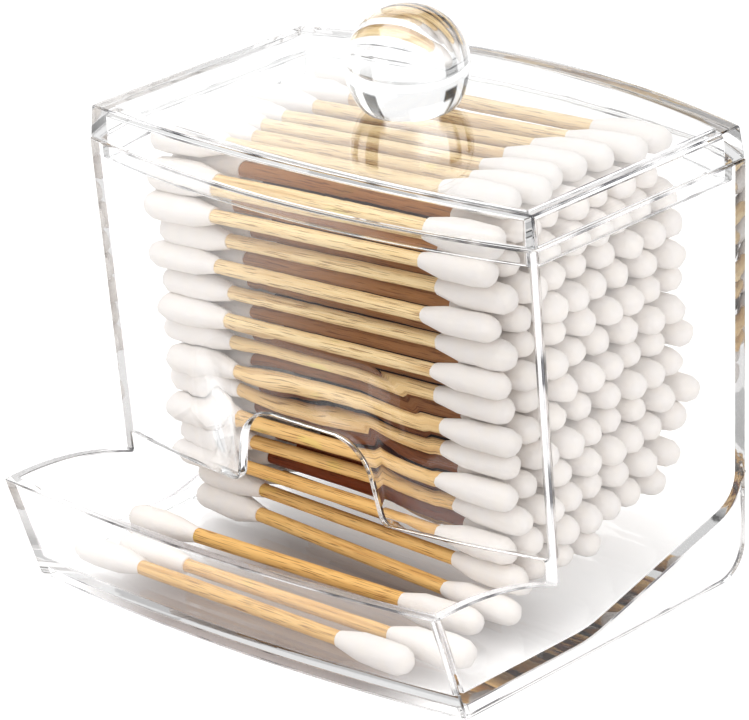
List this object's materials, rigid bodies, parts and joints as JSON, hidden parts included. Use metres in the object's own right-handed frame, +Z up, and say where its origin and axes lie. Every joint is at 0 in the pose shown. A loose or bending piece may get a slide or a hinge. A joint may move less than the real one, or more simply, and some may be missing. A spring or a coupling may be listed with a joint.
{
  "type": "cotton swab holder",
  "caption": "Clear plastic swab holder with a lift-off lid, ball knob and open front tray, filled with bamboo cotton swabs.",
  "frame": {"origin": "on the ground, under the middle of the whole object's box", "axes": "+X along the width, -Y towards the open tray, +Z up"},
  "size_m": [0.0974, 0.0854, 0.0941],
  "materials": {
    "clear_plastic": "clear, polished",
    "bamboo": "plain sanded bamboo",
    "cotton": "matte wound cotton"
  },
  "bodies": {
    "holder": {"holder": "clear_plastic", "lower_layer_sticks": "bamboo", "lower_layer_tips": "cotton", "row_01_stick": "bamboo", "row_01_tips": "cotton", "row_02_sticks": "bamboo", "row_02_tips": "cotton", "row_03_sticks": "bamboo", "row_03_tips": "cotton", "row_04_sticks": "bamboo", "row_04_tips": "cotton", "row_05_sticks": "bamboo", "row_05_tips": "cotton", "row_06_sticks": "bamboo", "row_06_tips": "cotton", "row_07_sticks": "bamboo", "row_07_tips": "cotton", "row_08_sticks": "bamboo", "row_08_tips": "cotton", "row_09_sticks": "bamboo", "row_09_tips": "cotton", "row_10_sticks": "bamboo", "row_10_tips": "cotton", "row_11_sticks": "bamboo", "row_11_tips": "cotton", "row_12_sticks": "bamboo", "row_12_tips": "cotton", "row_13_sticks": "bamboo", "row_13_tips": "cotton", "tray_swab_1_stick": "bamboo", "tray_swab_1_tips": "cotton", "tray_swab_2_stick": "bamboo", "tray_swab_2_tips": "cotton", "tray_swab_3_stick": "bamboo", "tray_swab_3_tips": "cotton", "upper_layer_sticks": "bamboo", "upper_layer_tips": "cotton"},
    "lid": {"lid": "clear_plastic", "knob": "clear_plastic"}
  },
  "joints": [
    {"name": "lid_lift", "type": "slide", "parent": "holder", "child": "lid", "axis": [0, 0, 1], "range_m": [0, 0.04]}
  ]
}
